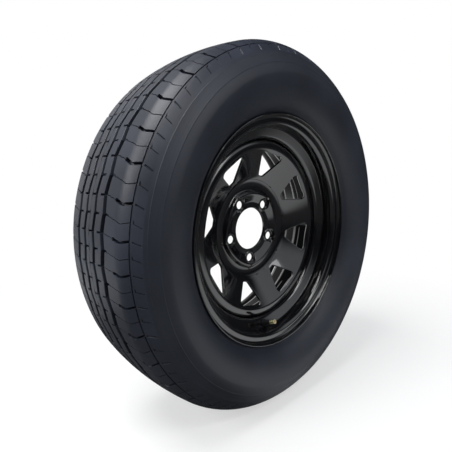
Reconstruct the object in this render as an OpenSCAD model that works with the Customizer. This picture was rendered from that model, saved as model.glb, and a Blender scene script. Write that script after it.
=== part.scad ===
// Pressed steel wheel with a moulded tyre and a snap-in valve.
// The axle lies along Y and the street side faces -Y.
// Every module draws its piece about +Z, with +Z as the street side, and about_axle() turns it.

/* [Tyre] */
// Outer diameter of the tyre over its crown
tyre_d = 654.6; // [640:1:690]
// Width of the tyre over its sidewalls
tyre_w = 219.2; // [205:1:230]
// Radius at which the sidewall is widest
widest_r = 264.9; // [255:1:275]
// Half width of the flat crown
crown_half = 62.7; // [56:0.5:70]
// How far the crown drops from its middle to its edge
crown_drop = 4.1; // [2:0.5:8]
// Squareness of the shoulder curve
shoulder_power = 1.6; // [1.4:0.1:2]
// Thickness of the casing under the crown
crown_t = 14; // [12:0.5:18]
// Thickness of the sidewall at its widest
sidewall_t = 8; // [6:0.5:10]
// Depth of the contact patch that the tyre stands on
patch_depth = 2; // [1.5:0.25:4]

/* [Tread] */
// Number of tread pitches round the tyre
pitch_count = 42; // [36:1:48]
// Depth of the four main grooves
groove_depth = 8; // [6:0.5:9]
// Distance of an inner groove from the middle of the tread
inner_groove_z = 12.5; // [11:0.5:15]
// Distance of an outer groove from the middle of the tread
outer_groove_z = 37.5; // [34:0.5:42]
// Width of an inner groove
inner_groove_w = 3.5; // [2.5:0.5:6]
// Width of an outer groove
outer_groove_w = 5; // [4:0.5:8]
// Step of a groove from one half pitch to the next
groove_step = 2.5; // [1:0.5:4]
// Width of a shoulder slot
slot_w = 4.5; // [3:0.5:6]
// Depth of a shoulder slot
slot_depth = 6.5; // [4:0.5:8]
// Inner end of a shoulder slot, from the middle of the tread
slot_start_z = 58; // [54:1:66]
// Outer end of a shoulder slot, from the middle of the tread
slot_end_z = 84.5; // [80:0.5:88]
// Width and depth of the fine groove that ends the shoulder slots
fine_groove = 2; // [1:0.5:3]
// Radii of the fine rings moulded on the sidewall
ring_radii = [295, 281];
// Height of a sidewall ring
ring_h = 0.7; // [0.4:0.1:1.5]

/* [Rim] */
// Diameter of the bead seats at the flanges
bead_seat_d = 380.2; // [380.2:0.1:380.6]
// Width between the flanges
rim_w = 139.7; // [127:0.1:152.4]
// Thickness of the barrel sheet
barrel_t = 3; // [2.5:0.25:3.5]
// Depth of the well floor below the bead seats
well_depth = 19.6; // [17:0.5:22]
// Street side end of the well
well_outer_z = 40; // [38:0.5:42]
// Hub side end of the well
well_inner_z = -9; // [-12:0.5:-6]
// Depth of the ledge between the well and the hub side seat, below the seats
ledge_depth = 8.6; // [6:0.5:11]

/* [Disc] */
// Thickness of the disc sheet
disc_t = 4.5; // [3.5:0.25:5]
// Diameter of the centre bore
bore_d = 81; // [60:0.5:84]
// Pitch circle diameter of the lug holes
lug_pcd = 114.3; // [112:0.1:116]
// Number of lug holes
lug_count = 5; // [5:1:6]
// Diameter of a lug hole
lug_hole_d = 15.2; // [13:0.2:16]
// Diameter of a lug hole's cone seat at its face
lug_seat_d = 19; // [18:0.5:20]
// Diameter of the coined boss round a lug hole
lug_boss_d = 23; // [22:0.5:25]
// Height of the coined boss above the hub face sheet
lug_boss_h = 1.5; // [0.5:0.25:2.5]
// Angle of the first lug hole, clockwise from the top on the street side
lug_angle = 183.4; // [144:0.1:216]
// Radius of the lobed ridge round the hub face, at its foot between two lug holes
ridge_r = 75; // [73:0.5:77]
// Distance of a lobe's centre beyond the wheel's centre, which sets how lobed the ridge is
lobe_offset = 27.8; // [10:0.2:40]
// Width of the hub ridge
ridge_w = 23; // [20:0.5:25]
// Width of the ridge's flat top
ridge_top_w = 3.5; // [2:0.5:6]
// Run of the ridge's outer slope
ridge_run = 4.5; // [3:0.5:6]
// Height of the hub ridge over the hub face sheet
ridge_h = 6.5; // [4:0.5:8]
// Radius at which the disc starts to rise from the hub face
dish_start_r = 91; // [88:0.5:94]
// Fillet between the hub face and the dish's cone
dish_fillet = 40; // [20:1:42]
// Distance of the dish's crest from the disc's outer face
crest_inset = 15.5; // [13:0.5:18]
// Height of the dish crest over the hub face
crest_z = 39; // [36:0.5:40]
// Depth of the disc flange that is pressed into the well
flange_depth = 33; // [28:1:36]
// Radial clearance of the disc flange in the well
flange_gap = 0.05; // [0.02:0.01:0.2]

/* [Windows] */
// Number of windows
window_count = 8; // [6:1:9]
// Angle of the first window, clockwise from the top on the street side
window_angle = 12.5; // [0:0.5:22.5]
// Radius of a window's point, nearest the hub
window_tip_r = 103; // [101:0.5:108]
// Distance of a window's base from the dish's crest
window_base_gap = 8; // [6:0.5:14]
// Width of a window at its base
window_base_w = 66; // [50:1:70]
// Width across a window's point
window_tip_w = 12; // [8:1:20]
// Corner radius of a window
window_corner_r = 6; // [3:0.5:8]

/* [Valve] */
// Angle of the valve, clockwise from the top on the street side
valve_angle = 183.4; // [150:0.1:210]
// Diameter of the valve hole in the rim
valve_hole_d = 11.5; // [11.3:0.1:12]
// Length of the valve outside the rim
valve_out = 29; // [26:0.5:32]
// Length of the valve inside the rim, from the street side of the sheet
valve_in = 12; // [11:0.5:14]
// Length of bare brass at the valve's mouth
brass_bare = 11; // [8:0.5:14]
// Diameter of the brass over its thread
brass_d = 7.7; // [7.5:0.1:7.9]
// Diameter of the brass tube inside the rubber
brass_shank_d = 6; // [5.5:0.1:6.4]
// Diameter of the valve's mouth
mouth_d = 5.1; // [4.9:0.1:5.3]
// Diameter of the air way below the valve core's seat
airway_d = 3.8; // [3.4:0.1:4]
// Diameter of the rubber collar on the street side
collar_d = 13.4; // [12.6:0.1:13.6]
// Diameter of the rubber bulb on the tyre side
bulb_d = 14.8; // [14:0.1:15]
// Diameter of the valve core's pin
pin_d = 1.2; // [1:0.1:1.4]
// Clearance between fitted valve pieces
valve_gap = 0.05; // [0.03:0.01:0.08]

/* [Fits] */
// Clearance between the tyre's bead and the rim
bead_gap = 0.1; // [0.05:0.05:0.3]

/* [Hidden] */
$fn = 96;
eps = 0.01;
far = 400;

// Points of an arc in the plane of a section, with angles from the radial direction
function arc_points(centre, radius, from, to, steps = 8) =
    [for (i = [0:steps]) centre + radius * [cos(from + (to - from) * i / steps),
        sin(from + (to - from) * i / steps)]];

function unit(v) = v / norm(v);

// Arc that rounds the corner at b between a and c
function corner_arc(a, b, c, radius, steps) =
    let (u = unit(a - b), v = unit(c - b))
    let (half = acos(max(-1, min(1, u * v))) / 2)
    let (reach = radius / tan(half), centre = b + unit(u + v) * radius / sin(half))
    let (s = b + u * reach - centre, e = b + v * reach - centre)
    let (from = atan2(s[1], s[0]), turn = atan2(s[0] * e[1] - s[1] * e[0], s * e))
    [for (i = [0:steps]) centre + radius * [cos(from + turn * i / steps), sin(from + turn * i / steps)]];

// Line through corners given as [radius, height, fillet], with each fillet drawn as an arc
function rounded(p, steps = 4) =
    [for (i = [0:len(p) - 1])
        let (b = [p[i][0], p[i][1]], fillet = p[i][2])
        each (i == 0 || i == len(p) - 1 || fillet == undef || fillet == 0) ? [b]
            : corner_arc([p[i - 1][0], p[i - 1][1]], b, [p[i + 1][0], p[i + 1][1]], fillet, steps)];

// Normal to the left of the line at point i, lengthened so that both neighbours shift by one
function mitre(p, i) =
    let (n = len(p) - 1)
    let (before = unit(p[max(1, i)] - p[max(1, i) - 1]), after = unit(p[min(n - 1, i) + 1] - p[min(n - 1, i)]))
    let (na = [-before[1], before[0]], nb = [-after[1], after[0]])
    (na + nb) / (1 + na * nb);

function shifted(p, distance) = [for (i = [0:len(p) - 1]) p[i] + mitre(p, i) * distance];
function reversed(p) = [for (i = [len(p) - 1:-1:0]) p[i]];
function mirrored(p) = [for (q = reversed(p)) [q[0], -q[1]]];

// Closed section of a sheet that lies to the left of its line
function sheet(p, t) = concat(p, reversed(shifted(p, t)));

// Turns a piece drawn about +Z so that its +Z side faces the street
module about_axle() {
    rotate([90, 0, 0]) children();
}

// Places a child at an angle clockwise from the top, seen from the street side
module at_clock(angle) {
    rotate([0, 0, 90 - angle]) children();
}

// Rim section, tyre side, from the street flange's tip to the hub side flange's tip
flange_curl_r = 9.5;
flange_reach = 13;
flange_h = 17.6;
seat_taper = 5;
heel_r = 6.5;
seat_r = bead_seat_d / 2;
seat_w = 18.4;
flange_z = rim_w / 2;
curl_r_centre = seat_r + flange_h - flange_curl_r;
curl_z_centre = flange_z + flange_curl_r;
curl_tip_angle = asin((flange_reach - flange_curl_r) / flange_curl_r);
seat_end_r = seat_r - seat_w * tan(seat_taper);
hump_h = 1.2;
well_wall_run = 7.6;
hump_z = well_outer_z + well_wall_run;
well_r = seat_r - well_depth;
ledge_r = seat_r - ledge_depth;

function seat_side() = concat(
    arc_points([curl_r_centre, curl_z_centre], flange_curl_r, curl_tip_angle, -90, 10),
    corner_arc([curl_r_centre, flange_z], [seat_r, flange_z], [seat_end_r, flange_z - seat_w], heel_r, 5));

street_half = concat(seat_side(), rounded([
    [seat_end_r, flange_z - seat_w],
    [seat_end_r + hump_h, hump_z, 4],
    [well_r, well_outer_z, 6],
    [well_r, 0]]));
hub_half = concat(
    rounded([
        [well_r, 0],
        [well_r, well_inner_z, 6],
        [ledge_r, well_inner_z - 9, 6],
        [ledge_r + 1, 6 - hump_z, 8],
        [seat_end_r + hump_h, -hump_z, 4],
        [seat_end_r, seat_w - flange_z]]),
    mirrored(seat_side()));
function without_first(p) = [for (i = [1:len(p) - 1]) p[i]];
rim_path = concat(street_half, without_first(hub_half));

// Valve axis, square to the well's wall through its middle
wall_top = [seat_end_r + hump_h, hump_z];
wall_foot = [well_r, well_outer_z];
wall_dir = unit(wall_top - wall_foot);
valve_dir = [-wall_dir[1], wall_dir[0]];
valve_mid = (wall_top + wall_foot) / 2;
valve_seat = valve_mid + valve_dir * barrel_t;
valve_tilt = atan2(valve_dir[0], valve_dir[1]);

// Draws a child along the valve's axis, with its zero at the street side of the sheet
module on_valve() {
    about_axle() at_clock(valve_angle) translate([valve_seat[0], 0, valve_seat[1]])
        rotate([0, valve_tilt, 0]) children();
}

// Tyre section
tyre_r = tyre_d / 2;
shoulder_steps = 10;
function crown_at(z) = tyre_r - crown_drop * pow(z / crown_half, 2);
function shoulder_at(t) = [
    widest_r + (tyre_r - crown_drop - widest_r) * pow(cos(t), 2 / shoulder_power),
    crown_half + (tyre_w / 2 - crown_half) * pow(sin(t), 2 / shoulder_power)];
toe_z = flange_z - 17;
bead_side = [for (p = shifted(rim_path, bead_gap)) if (p[1] > toe_z && p[1] < curl_z_centre - 1) p];
flange_rest = [curl_r_centre + flange_curl_r + 2.6, curl_z_centre + 1.2];

sidewall_foot = [curl_r_centre + flange_curl_r + 8, curl_z_centre + 9.6];
function sidewall_at(share) = [widest_r + (sidewall_foot[0] - widest_r) * share,
    tyre_w / 2 + (sidewall_foot[1] - tyre_w / 2) * share * share];
outer_sidewall = concat([flange_rest], [for (share = [1, 0.8, 0.6, 0.4, 0.2]) sidewall_at(share)]);
function shoulder_turn(r) = acos(pow((r - widest_r) / (tyre_r - crown_drop - widest_r), shoulder_power / 2));
ring_half_turn = 0.6;
// Corners of a moulded ring that stands out of the shoulder at one turn of its curve
function ring_points(t) =
    let (a = shoulder_at(t + ring_half_turn), b = shoulder_at(t - ring_half_turn))
    let (out = ring_h * unit([a[1] - b[1], b[0] - a[0]]))
    [a, a + out, b + out, b];
shoulder = [for (i = [0:shoulder_steps - 1])
    let (from = 90 * (1 - i / shoulder_steps), to = 90 * (1 - (i + 1) / shoulder_steps))
    each concat([shoulder_at(from)], [for (r = ring_radii)
        let (t = shoulder_turn(r)) if (t < from && t >= to) each ring_points(t)])];
crown = [for (z = [crown_half, crown_half * 0.66, crown_half * 0.33, 0]) [crown_at(z), z]];
inner_wall = rounded([
    [tyre_r - crown_t, 0],
    [tyre_r - crown_t - crown_drop, crown_half + 10, 26],
    [widest_r + 18, tyre_w / 2 - sidewall_t - 2, 20],
    [widest_r - 12, tyre_w / 2 - sidewall_t, 20],
    [curl_r_centre + 6, flange_z - 8, 12],
    [seat_r + 6, toe_z - 1],
    [bead_side[len(bead_side) - 1][0], toe_z - 1]], 4);
half_section = concat(inner_wall, reversed(bead_side), outer_sidewall, shoulder, crown);
tyre_section = concat(half_section, [for (p = reversed(half_section)) if (p[1] > 0) [p[0], -p[1]]]);

function shoulder_r(z) =
    let (t = asin(pow((z - crown_half) / (tyre_w / 2 - crown_half), shoulder_power / 2)))
    shoulder_at(t)[0];

module groove_outline(z, w) {
    translate([tyre_r - groove_depth, z - w / 2]) square([groove_depth * 2, w]);
}

module tyre_outline() {
    difference() {
        polygon(tyre_section);
        for (side = [-1, 1]) {
            groove_outline(side * inner_groove_z, inner_groove_w);
            groove_outline(side * outer_groove_z, outer_groove_w);
            translate([shoulder_r(slot_end_z + 1), side * (slot_end_z + 1)])
                square([2 * fine_groove, fine_groove], center = true);
        }
    }
}

step_rise = 1;
// Notches that widen each main groove to one side, then to the other, at every half pitch
module groove_steps() {
    half_pitch = 180 / pitch_count;
    arc_w = tyre_r * half_pitch * PI / 180;
    for (i = [0:2 * pitch_count - 1], z = [-outer_groove_z, -inner_groove_z, inner_groove_z, outer_groove_z]) {
        w = abs(z) > inner_groove_z ? outer_groove_w : inner_groove_w;
        side = i % 2 == 0 ? 1 : -1;
        step_z = z + side * (w + groove_step) / 2;
        rotate([0, 0, i * half_pitch]) translate([tyre_r + step_rise, 0, step_z])
            cube([groove_depth * 2, arc_w, groove_step + eps], center = true);
    }
}

// Slots across each shoulder rib, one to a pitch, that run out over the shoulder
module shoulder_slots() {
    bend_z = (slot_start_z + slot_end_z) / 2;
    floor_line = [[tyre_r, slot_start_z], [crown_at(slot_start_z) - slot_depth, slot_start_z],
        [shoulder_r(bend_z) - slot_depth, bend_z], [shoulder_r(slot_end_z) - slot_depth, slot_end_z],
        [tyre_r, slot_end_z]];
    for (i = [0:pitch_count - 1], side = [0, 1])
        mirror([0, 0, side]) rotate([0, 0, (i + side / 2) * 360 / pitch_count])
            rotate([90, 0, 0]) translate([0, 0, -slot_w / 2]) linear_extrude(slot_w) polygon(floor_line);
}

module tyre() {
    color([0.16, 0.17, 0.2]) difference() {
        about_axle() difference() {
            rotate_extrude() tyre_outline();
            groove_steps();
            shoulder_slots();
        }
        translate([-far, -far, patch_depth - tyre_r - far]) cube([2 * far, 2 * far, far]);
    }
}

module rim_barrel() {
    color([0.05, 0.05, 0.055]) difference() {
        about_axle() rotate_extrude() polygon(sheet(rim_path, -barrel_t));
        on_valve() translate([0, 0, -2 * barrel_t]) cylinder(h = 3 * barrel_t, d = valve_hole_d);
    }
}

// Disc section along its street face
flange_face_r = well_r - barrel_t - flange_gap;
crest_r = flange_face_r - crest_inset;
disc_path = rounded([
    [bore_d / 2, disc_t],
    [dish_start_r, disc_t, dish_fillet],
    [crest_r, crest_z, 13],
    [flange_face_r, crest_z, 8],
    [flange_face_r, crest_z - flange_depth]]);

// Outline with one lobe between each two lug holes: at each angle, the nearest of as many large circles
lobe_steps = 8;
function lobe_reach(foot_r, off) =
    let (big = foot_r + lobe_offset)
    sqrt(big * big - pow(lobe_offset * sin(off), 2)) - lobe_offset * cos(off);
function lobe_outline(foot_r) =
    [for (i = [0:lug_count - 1], k = [0:lobe_steps - 1])
        let (off = (k / lobe_steps - 0.5) * 360 / lug_count)
        let (clock = lug_angle + (i + 0.5) * 360 / lug_count + off)
        lobe_reach(foot_r, off) * [sin(clock), cos(clock)]];

// Block over the lobed outline whose wall leans in by the run over its height
module lobed(foot_r, top_r, h) {
    linear_extrude(height = h, scale = top_r / foot_r) polygon(lobe_outline(foot_r));
}

// Bowl inside the ridge, which opens from the hub face up to the inner edge of the ridge's top
bowl_r = ridge_r - ridge_w;
bowl_top_r = ridge_r - ridge_run - ridge_top_w;
bowl_slope = (bowl_top_r - bowl_r) / ridge_h;
module bowl(floor_z, grown) {
    h = 2 * ridge_h;
    foot_r = bowl_r + grown + (floor_z - disc_t) * bowl_slope;
    translate([0, 0, floor_z]) cylinder(h = h, r1 = foot_r, r2 = foot_r + h * bowl_slope);
}

// Ridge as a solid ring sunk into the sheet, and the hollow pressed up under it
sunk = 1;
ridge_wall = 4.5;
module ridge_block() {
    difference() {
        translate([0, 0, sunk]) lobed(ridge_r, ridge_r - ridge_run, disc_t + ridge_h - sunk);
        bowl(disc_t - sunk, 0);
        cylinder(h = 2 * disc_t, d = bore_d + 6);
    }
}
module ridge_hollow() {
    difference() {
        translate([0, 0, -sunk]) lobed(ridge_r - ridge_wall, ridge_r - ridge_wall - ridge_run, ridge_h + sunk);
        bowl(-2 * sunk, ridge_wall);
    }
}

window_base_r = crest_r - window_base_gap;
module window_outline() {
    polygon(rounded([
        [window_tip_r, 0],
        [window_tip_r, window_tip_w / 2, window_corner_r * 0.8],
        [window_base_r, window_base_w / 2, window_corner_r],
        [window_base_r, -window_base_w / 2, window_corner_r],
        [window_tip_r, -window_tip_w / 2, window_corner_r * 0.8],
        [window_tip_r, 0]], 4));
}

lug_seat_depth = (lug_seat_d - lug_hole_d) / 2 / tan(30);
boss_top = disc_t + lug_boss_h;
module wheel_disc() {
    $fn = 64;
    color([0.05, 0.05, 0.055]) about_axle() difference() {
        union() {
            difference() {
                union() {
                    rotate_extrude() polygon(sheet(disc_path, -disc_t));
                    ridge_block();
                }
                ridge_hollow();
            }
            lug_places() cylinder(h = boss_top, d = lug_boss_d);
        }
        lug_places() {
            translate([0, 0, boss_top]) cylinder(h = 2 * ridge_h, d = lug_boss_d);
            translate([0, 0, -1]) cylinder(h = boss_top + 2, d = lug_hole_d);
            translate([0, 0, boss_top - lug_seat_depth])
                cylinder(h = lug_seat_depth + eps, d1 = lug_hole_d, d2 = lug_seat_d);
        }
        for (i = [0:window_count - 1])
            at_clock(window_angle + i * 360 / window_count) linear_extrude(2 * crest_z) window_outline();
    }
}

module lug_places() {
    for (i = [0:lug_count - 1])
        at_clock(lug_angle + i * 360 / lug_count) translate([lug_pcd / 2, 0, 0]) children();
}

// Fillet welds between the disc flange's edge and the well
weld_count = 8;
weld_leg = 5;
weld_angle = 26;
module disc_welds() {
    color([0.06, 0.06, 0.06]) about_axle() for (i = [0:weld_count - 1])
        rotate([0, 0, (i + 0.3) * 360 / weld_count]) rotate_extrude(angle = weld_angle)
            polygon([[flange_face_r, crest_z - flange_depth], [flange_face_r - weld_leg + 1, crest_z - flange_depth],
                [flange_face_r - 2, crest_z - flange_depth - 2.6], [flange_face_r, crest_z - flange_depth - weld_leg]]);
}

// Snap-in valve, each piece along its own axis
shank_r = brass_shank_d / 2;
neck_r = valve_hole_d / 2 - valve_gap;
rubber_top = valve_out - brass_bare;
seat_top = 10;
seat_foot = 8.6;
core_top = valve_out - 0.8;
nut_h = 4.6;
barrel_top = core_top - nut_h;

module valve_rubber() {
    color([0.07, 0.07, 0.07]) on_valve() rotate_extrude() polygon(concat(
        [[shank_r + valve_gap, -valve_in + 1]],
        rounded([
            [shank_r + valve_gap, -valve_in + 1],
            [bulb_d / 2, -valve_in + 1, 2],
            [bulb_d / 2, -barrel_t - 3, 1.5],
            [neck_r, -barrel_t - 0.3, 0.8],
            [neck_r, 0.3, 0.6],
            [collar_d / 2, 0.6, 0.6],
            [collar_d / 2, 3.2, 1.5],
            [collar_d / 2 - 1.1, 5, 2],
            [collar_d / 2 - 2.2, rubber_top, 1],
            [shank_r + valve_gap, rubber_top]], 3)));
}

module valve_stem() {
    color([0.75, 0.6, 0.3]) on_valve() rotate_extrude() polygon([
        [airway_d / 2, -valve_in], [shank_r, -valve_in], [shank_r, rubber_top + valve_gap],
        [brass_d / 2 - 0.5, rubber_top + valve_gap], [brass_d / 2, rubber_top + 0.6],
        [brass_d / 2, valve_out - 0.5], [brass_d / 2 - 0.5, valve_out],
        [mouth_d / 2 + 0.3, valve_out], [mouth_d / 2, valve_out - 0.3],
        [mouth_d / 2, seat_top + 1.5], [airway_d / 2, seat_top]]);
}

pin_r = pin_d / 2;
nut_r = mouth_d / 2 - valve_gap;
guide_r = pin_r + valve_gap;
body_r = airway_d / 2 - 0.25;
module core_nut() {
    color([0.7, 0.55, 0.28]) on_valve() difference() {
        translate([0, 0, barrel_top]) cylinder(h = nut_h, r = nut_r);
        translate([0, 0, barrel_top + 1.6]) cylinder(h = nut_h, r = 1.4);
        translate([0, 0, barrel_top - 1]) cylinder(h = nut_h, r = guide_r);
        for (side = [0, 180]) rotate([0, 0, side])
            translate([0.8, -nut_r, barrel_top + 2.4]) cube([nut_r, 2 * nut_r, nut_h]);
    }
}

barrel_foot = 4;
guide_h = 1.2;
spring_floor = 15.4;
collar_z = 21.6;
collar_h = 0.8;
chamber_r = 1.35;
seal_foot = seat_top + 1.6;
seal_h = 1.8;
module core_barrel() {
    color([0.72, 0.58, 0.3]) on_valve() rotate_extrude() polygon([
        [guide_r, spring_floor - guide_h], [guide_r, spring_floor], [chamber_r, spring_floor],
        [chamber_r, barrel_top - valve_gap], [nut_r - 0.2, barrel_top - valve_gap],
        [nut_r - 0.2, seal_foot + seal_h + valve_gap], [body_r + 0.2, seal_foot + seal_h + valve_gap],
        [body_r + 0.2, seal_foot - 0.2], [body_r, seal_foot - 0.4], [body_r, barrel_foot],
        [guide_r + 0.3, barrel_foot], [guide_r + 0.3, spring_floor - guide_h]]);
}

module core_barrel_seal() {
    color([0.85, 0.83, 0.78]) on_valve() rotate_extrude() polygon([
        [body_r + 0.2 + valve_gap, seal_foot], [nut_r - 0.2, seal_foot], [nut_r, seal_foot + 0.3],
        [nut_r, seal_foot + seal_h], [body_r + 0.2 + valve_gap, seal_foot + seal_h]]);
}

pin_top = core_top - 0.2;
pin_foot = 1;
cup_h = 2;
cup_r = body_r - 0.1;
cup_foot = pin_foot + 0.2;
module core_pin() {
    color([0.8, 0.62, 0.25]) on_valve() rotate_extrude() polygon([
        [0, pin_foot], [pin_r, pin_foot], [pin_r, collar_z], [chamber_r - 0.15, collar_z],
        [chamber_r - 0.15, collar_z + collar_h], [pin_r, collar_z + collar_h], [pin_r, pin_top - 0.2],
        [pin_r - 0.2, pin_top], [0, pin_top]]);
}

module core_cup() {
    color([0.72, 0.58, 0.3]) on_valve() rotate_extrude() polygon([
        [guide_r, cup_foot], [cup_r - 0.4, cup_foot], [cup_r, cup_foot + 0.6], [cup_r, cup_foot + cup_h + 0.3],
        [cup_r - 0.15, cup_foot + cup_h + 0.3], [cup_r - 0.15, cup_foot + cup_h], [guide_r, cup_foot + cup_h]]);
}

module core_cup_seal() {
    color([0.07, 0.07, 0.07]) on_valve() rotate_extrude() polygon([
        [guide_r, cup_foot + cup_h + valve_gap], [cup_r - 0.2, cup_foot + cup_h + valve_gap],
        [cup_r - 0.2, barrel_foot - valve_gap], [guide_r, barrel_foot - valve_gap]]);
}

// Coils of the return spring, each a ring about the pin between the spring's floor and the pin's collar
spring_wire = 0.3;
spring_turns = 6;
spring_mid_r = 0.95;
spring_sides = 6;
spring_steps = 12;
function spring_point(turn, side) =
    let (lead = (collar_z - spring_floor - spring_wire - 2 * valve_gap) / spring_turns)
    let (r = spring_mid_r + spring_wire / 2 * cos(side))
    [r * cos(turn * 360), r * sin(turn * 360),
        spring_floor + valve_gap + spring_wire / 2 + turn * lead + spring_wire / 2 * sin(side)];
module core_spring() {
    count = spring_turns * spring_steps;
    points = [for (i = [0:count], k = [0:spring_sides - 1])
        spring_point(i / spring_steps, k * 360 / spring_sides)];
    sides = [for (i = [0:count - 1], k = [0:spring_sides - 1])
        let (a = i * spring_sides + k, b = i * spring_sides + (k + 1) % spring_sides)
        each [[a, b, b + spring_sides], [a, b + spring_sides, a + spring_sides]]];
    first_end = [[for (k = [spring_sides - 1:-1:0]) k]];
    last_end = [[for (k = [0:spring_sides - 1]) count * spring_sides + k]];
    color([0.6, 0.6, 0.62]) on_valve() polyhedron(points, concat(sides, first_end, last_end));
}

tyre();
rim_barrel();
wheel_disc();
disc_welds();
valve_rubber();
valve_stem();
core_nut();
core_barrel();
core_barrel_seal();
core_pin();
core_cup();
core_cup_seal();
core_spring();
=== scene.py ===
# %% [markdown]
# # A steel wheel with its tyre
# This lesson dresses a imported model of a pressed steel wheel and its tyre. The model is already right in
# size, so nothing here moves or resizes it. Every length is written in millimetres, as on a workshop
# drawing, and one helper turns wheel coordinates into Blender's metres.

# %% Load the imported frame
import math
import bmesh
import bpy
import numpy as np
from mathutils import Matrix, Vector


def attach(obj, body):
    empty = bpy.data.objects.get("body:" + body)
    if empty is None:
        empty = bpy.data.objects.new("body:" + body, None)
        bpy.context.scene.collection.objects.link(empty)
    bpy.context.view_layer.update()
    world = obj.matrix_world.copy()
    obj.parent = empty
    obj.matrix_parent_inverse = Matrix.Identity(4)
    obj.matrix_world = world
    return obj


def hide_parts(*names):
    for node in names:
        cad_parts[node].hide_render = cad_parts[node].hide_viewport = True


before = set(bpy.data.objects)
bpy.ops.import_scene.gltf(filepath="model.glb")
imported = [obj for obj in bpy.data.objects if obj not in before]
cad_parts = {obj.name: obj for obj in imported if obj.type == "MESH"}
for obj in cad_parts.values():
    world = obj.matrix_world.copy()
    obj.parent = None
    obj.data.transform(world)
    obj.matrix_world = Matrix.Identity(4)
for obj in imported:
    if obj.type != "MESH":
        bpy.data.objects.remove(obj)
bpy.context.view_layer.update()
MM = 0.001

# %% [markdown]
# ## Camera
# The photograph was taken from close by, to the left of the wheel and a little above its middle. A close
# camera makes the near side of the tyre look much larger than the far side, so its distance matters as
# much as its angle. The values come from matching the rim's edge, the lug holes and the tyre's outline.

# %% Camera
AZIMUTH = math.radians(-40.88)
ELEVATION = math.radians(9.58)
ROLL = math.radians(-1.40)
CAMERA_DISTANCE = 720.56
CAMERA_SIDE = -87.25
CAMERA_RISE = -4.79
FOCAL_PIXELS = 367.06
FRAME_PIXELS = 452
SENSOR_MM = 36
SHIFT_PIXELS = (-21.57, 5.77)


def place_camera():
    """Looks along one direction from a point set off sideways, with the film shifted as the crop needs."""
    back = Vector((math.sin(AZIMUTH) * math.cos(ELEVATION), -math.cos(AZIMUTH) * math.cos(ELEVATION),
                   math.sin(ELEVATION)))
    level = Vector((math.cos(AZIMUTH), math.sin(AZIMUTH), 0))
    upright = back.cross(level)
    right = level * math.cos(ROLL) + upright * math.sin(ROLL)
    up = upright * math.cos(ROLL) - level * math.sin(ROLL)
    point = back * CAMERA_DISTANCE + level * CAMERA_SIDE + upright * CAMERA_RISE
    data = bpy.data.cameras.new("studio_camera")
    data.sensor_width = SENSOR_MM
    data.lens = FOCAL_PIXELS / FRAME_PIXELS * SENSOR_MM
    data.shift_x = -SHIFT_PIXELS[0] / FRAME_PIXELS
    data.shift_y = SHIFT_PIXELS[1] / FRAME_PIXELS
    data.clip_start = 0.01
    camera = bpy.data.objects.new("studio_camera", data)
    camera.matrix_world = Matrix((
        (right.x, up.x, back.x, point.x * MM),
        (right.y, up.y, back.y, point.y * MM),
        (right.z, up.z, back.z, point.z * MM),
        (0, 0, 0, 1)))
    bpy.context.scene.collection.objects.link(camera)
    bpy.context.scene.camera = camera
    return camera


camera = place_camera()
print("camera at", tuple(round(c, 3) for c in camera.location))

# %% [markdown]
# ## Shader sums in Python
# A material's noise and masks are sums and products of values. Written as nodes, they take a page. This
# small class wraps one socket, so that `1 - mask * 0.5` adds the Math nodes by itself.


# %% A wrapped socket and a small shader builder
class Value:
    """One value in a shader tree. Operators on it add Math nodes."""

    def __init__(self, shader, socket):
        self.shader = shader
        self.socket = socket

    def math(self, operation, other):
        return self.shader.node("ShaderNodeMath", {"operation": operation}, {0: self, 1: other})

    def __add__(self, other):
        return self.math("ADD", other)

    def __sub__(self, other):
        return self.math("SUBTRACT", other)

    def __rsub__(self, other):
        return self.shader.node("ShaderNodeMath", {"operation": "SUBTRACT"}, {0: other, 1: self})

    def __mul__(self, other):
        return self.math("MULTIPLY", other)

    __radd__ = __add__
    __rmul__ = __mul__

    def between(self, low, high):
        """0 below low, 1 above high, and smooth from one to the other."""
        return self.shader.node("ShaderNodeMapRange", {"interpolation_type": "SMOOTHSTEP"},
                                {0: self, 1: low, 2: high, 3: 0.0, 4: 1.0})


class Shader:
    """A material with one Principled node, built from plain calls."""

    def __init__(self, name, **sockets):
        self.material = bpy.data.materials.new(name)
        self.material.use_nodes = True
        self.tree = self.material.node_tree
        self.surface = self.tree.nodes["Principled BSDF"]
        self.set(**sockets)

    def plug(self, target, value):
        if isinstance(value, Value):
            self.tree.links.new(value.socket, target)
        else:
            target.default_value = value

    def node(self, kind, settings, sockets, out=0):
        """Adds a node of a kind, with its settings first and then values or links on its sockets."""
        node = self.tree.nodes.new(kind)
        for key, value in settings.items():
            setattr(node, key, value)
        for key, value in sockets.items():
            self.plug(node.inputs[key], value)
        return Value(self, node.outputs[out])

    def set(self, **sockets):
        for key, value in sockets.items():
            self.plug(self.surface.inputs[key.replace("_", " ")], value)

    def place(self):
        """Where a point of the object lies, in metres."""
        return self.node("ShaderNodeTexCoord", {}, {}, out="Object")

    def part(self, vector, axis):
        return self.node("ShaderNodeSeparateXYZ", {}, {0: vector}, out=axis)

    def noise(self, scale, detail=3.0):
        return self.node("ShaderNodeTexNoise", {}, {"Vector": self.place(), "Scale": scale, "Detail": detail})

    def mix(self, factor, low, high):
        return self.node("ShaderNodeMix", {"data_type": "RGBA"}, {0: factor, 6: low, 7: high}, out=2)

    def bump(self, height, distance, strength=1.0):
        """Turns a height into a normal. distance is the height of a full step, in millimetres."""
        sockets = {"Height": height, "Distance": distance * MM, "Strength": strength}
        return self.node("ShaderNodeBump", {}, sockets)


print("shader helpers defined")

# %% [markdown]
# ## Wheel coordinates
# Everything on a wheel is round, so points are easiest as a radius, a clock angle seen from the street
# side, and a distance out from the hub face. One function turns those three into Blender's X, Y and Z.


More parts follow.
